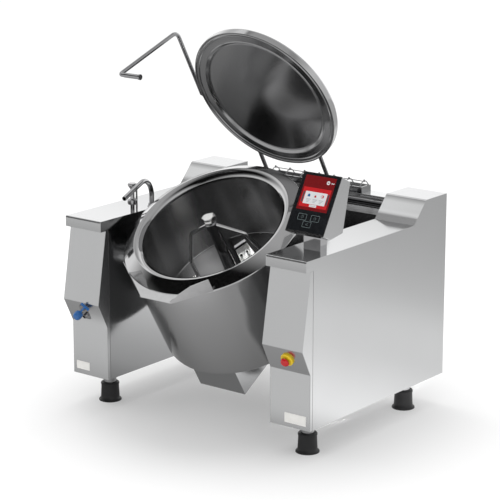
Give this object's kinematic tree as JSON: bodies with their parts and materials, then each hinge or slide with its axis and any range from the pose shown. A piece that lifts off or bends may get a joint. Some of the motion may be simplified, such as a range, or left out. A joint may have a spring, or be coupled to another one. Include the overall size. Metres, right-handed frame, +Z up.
{
  "type": "tilting braising pan",
  "caption": "Floor-standing tilting skillet: round tilting pan with mixer and pouring spout between two steel cabinets, hinged lid with long handle, touch console, water tap and stop button",
  "frame": {"origin": "on the floor, at the middle of the outline seen from above", "axes": "+X to the right of someone facing the front, +Y to the back, +Z up"},
  "size_m": [1.36, 1.2498, 1.7609],
  "materials": {
    "brushed_steel": "fine brushed stainless sheet",
    "polished_steel": "polished stainless",
    "bright_chrome": "bright",
    "black_rubber": "moulded, satin",
    "blue_plastic": "glossy blue",
    "red_plastic": "glossy red",
    "yellow_plastic": "glossy yellow",
    "black_plastic": "matt black",
    "screen_glass": "black glass",
    "scraper_plastic": "off-white wear plastic",
    "grey_casting": "painted casting",
    "grey_paint": "satin paint",
    "heater_steel": "heat-darkened sheath"
  },
  "bodies": {
    "frame": {"left_worktop": "brushed_steel", "right_worktop": "brushed_steel", "left_outer_side_panel": "brushed_steel", "right_outer_side_panel": "brushed_steel", "left_inner_side_panel": "brushed_steel", "right_inner_side_panel": "brushed_steel", "left_front_panel": "brushed_steel", "right_front_panel": "brushed_steel", "cabinet_backs": "brushed_steel", "cabinet_bases": "brushed_steel", "foot_sleeves": "black_rubber", "foot_stems": "bright_chrome", "rear_beam": "brushed_steel", "rear_louvres": "brushed_steel", "rear_cross_panel": "brushed_steel", "flue_box": "brushed_steel", "flue_guard": "bright_chrome", "console_neck": "brushed_steel", "console_housing": "brushed_steel", "console_glass": "screen_glass", "tap_base": "bright_chrome", "tap_valve": "bright_chrome", "stop_collar": "yellow_plastic", "stop_switch_block": "black_plastic", "drain_cock": "bright_chrome", "trunnion_bearings": "grey_casting", "tilt_gearbox": "grey_casting", "tilt_motor": "grey_paint", "electrical_box": "grey_paint", "lid_hinge_shaft": "polished_steel", "hinge_flanges": "polished_steel"},
    "pan": {"pan_vessel": "polished_steel", "pan_collar": "polished_steel", "pouring_spout": "polished_steel", "pan_jacket": "polished_steel", "pan_base": "brushed_steel", "heating_elements": "heater_steel", "pan_trunnions": "polished_steel", "drive_cover": "brushed_steel", "mixer_gearbox": "grey_casting", "mixer_motor": "grey_paint", "centre_post": "polished_steel"},
    "mixer": {"mixer_shaft": "polished_steel", "mixer_column": "polished_steel", "mixer_arms": "polished_steel", "floor_scrapers": "scraper_plastic", "paddle_holder": "polished_steel", "mixer_paddle": "scraper_plastic"},
    "locking_knob": {"mixer_knob": "polished_steel"},
    "lid": {"lid_shell": "polished_steel", "lid_liner": "polished_steel", "left_lid_arm": "polished_steel", "right_lid_arm": "polished_steel", "lid_handle": "bright_chrome", "handle_grip": "bright_chrome"},
    "water_tap": {"tap_spout": "bright_chrome"},
    "tap_handle": {"tap_knob": "bright_chrome"},
    "drain_valve_handle": {"drain_handle": "blue_plastic"},
    "stop_plunger": {"stop_stem": "polished_steel"},
    "stop_head": {"stop_button": "red_plastic"}
  },
  "joints": [
    {"name": "pan_tilt", "type": "hinge", "parent": "frame", "child": "pan", "pos_m": [0, -0.21824, 0.702], "axis": [1, 0, 0], "range_deg": [-31.31, 58.69]},
    {"name": "mixer_spin", "type": "hinge", "parent": "pan", "child": "mixer", "pos_m": [0, -0.22998, 0.91104], "axis": [0, -0.5197, 0.8544], "continuous": true},
    {"name": "mixer_lock", "type": "hinge", "parent": "mixer", "child": "locking_knob", "pos_m": [0, -0.22998, 0.91104], "axis": [0, -0.5197, 0.8544], "range_deg": [0, 90]},
    {"name": "lid_hinge", "type": "hinge", "parent": "frame", "child": "lid", "pos_m": [0, 0.45776, 0.94], "axis": [1, 0, 0], "range_deg": [0, 16]},
    {"name": "tap_swivel", "type": "hinge", "parent": "frame", "child": "water_tap", "pos_m": [-0.49, -0.06824, 0.915], "axis": [0, 0, -1], "range_deg": [-40, 0]},
    {"name": "tap_turn", "type": "hinge", "parent": "frame", "child": "tap_handle", "pos_m": [-0.495, -0.19724, 1.01], "axis": [0, 0, 1], "range_deg": [0, 180]},
    {"name": "drain_valve_turn", "type": "hinge", "parent": "frame", "child": "drain_valve_handle", "pos_m": [-0.573, -0.48201, 0.46378], "axis": [0, -0.8929, -0.4503], "range_deg": [0, 90]},
    {"name": "stop_push", "type": "slide", "parent": "frame", "child": "stop_plunger", "axis": [0, 0.8929, 0.4503], "range_m": [0, 0.005], "stiffness_N_per_m": 2000, "springref_m": -0.002},
    {"name": "stop_twist", "type": "hinge", "parent": "stop_plunger", "child": "stop_head", "pos_m": [0.585, -0.46543, 0.4531], "axis": [0, -0.8929, -0.4503], "range_deg": [0, 45], "stiffness_Nm_per_rad": 0.05}
  ]
}
